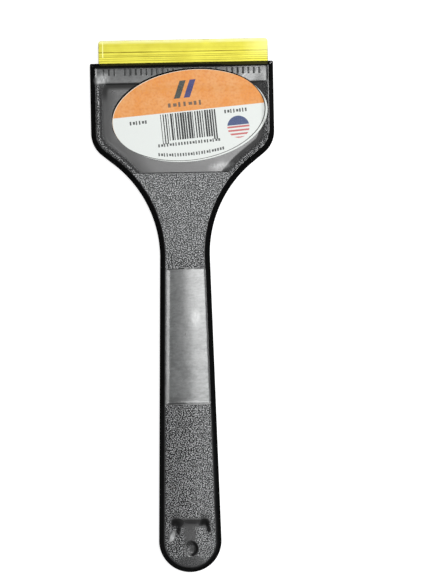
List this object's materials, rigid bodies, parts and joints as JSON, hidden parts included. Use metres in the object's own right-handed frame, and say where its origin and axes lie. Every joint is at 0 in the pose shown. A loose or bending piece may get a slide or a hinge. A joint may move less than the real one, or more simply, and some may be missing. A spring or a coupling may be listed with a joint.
{
  "type": "hand scraper",
  "caption": "Black moulded plastic hand scraper with a wide flared head, a brass blade set in its front edge, a textured handle and an oval paper label.",
  "frame": {"origin": "on the flat back, half way along the overall length and in the middle of the head's width", "axes": "+Y along the handle towards the blade's edge, +Z out of the labelled face, +X to the right seen from the front"},
  "size_m": [0.0962, 0.2794, 0.0097],
  "materials": {
    "black_plastic": "moulded black plastic, polished on the flanks and in the pockets, grained elsewhere",
    "blade_brass": "ground brass with fine lines along the blade",
    "label_paper": "printed paper, orange above and white below"
  },
  "bodies": {
    "root": {"handle_body": "black_plastic", "brass_blade": "blade_brass", "label": "label_paper"}
  },
  "joints": []
}
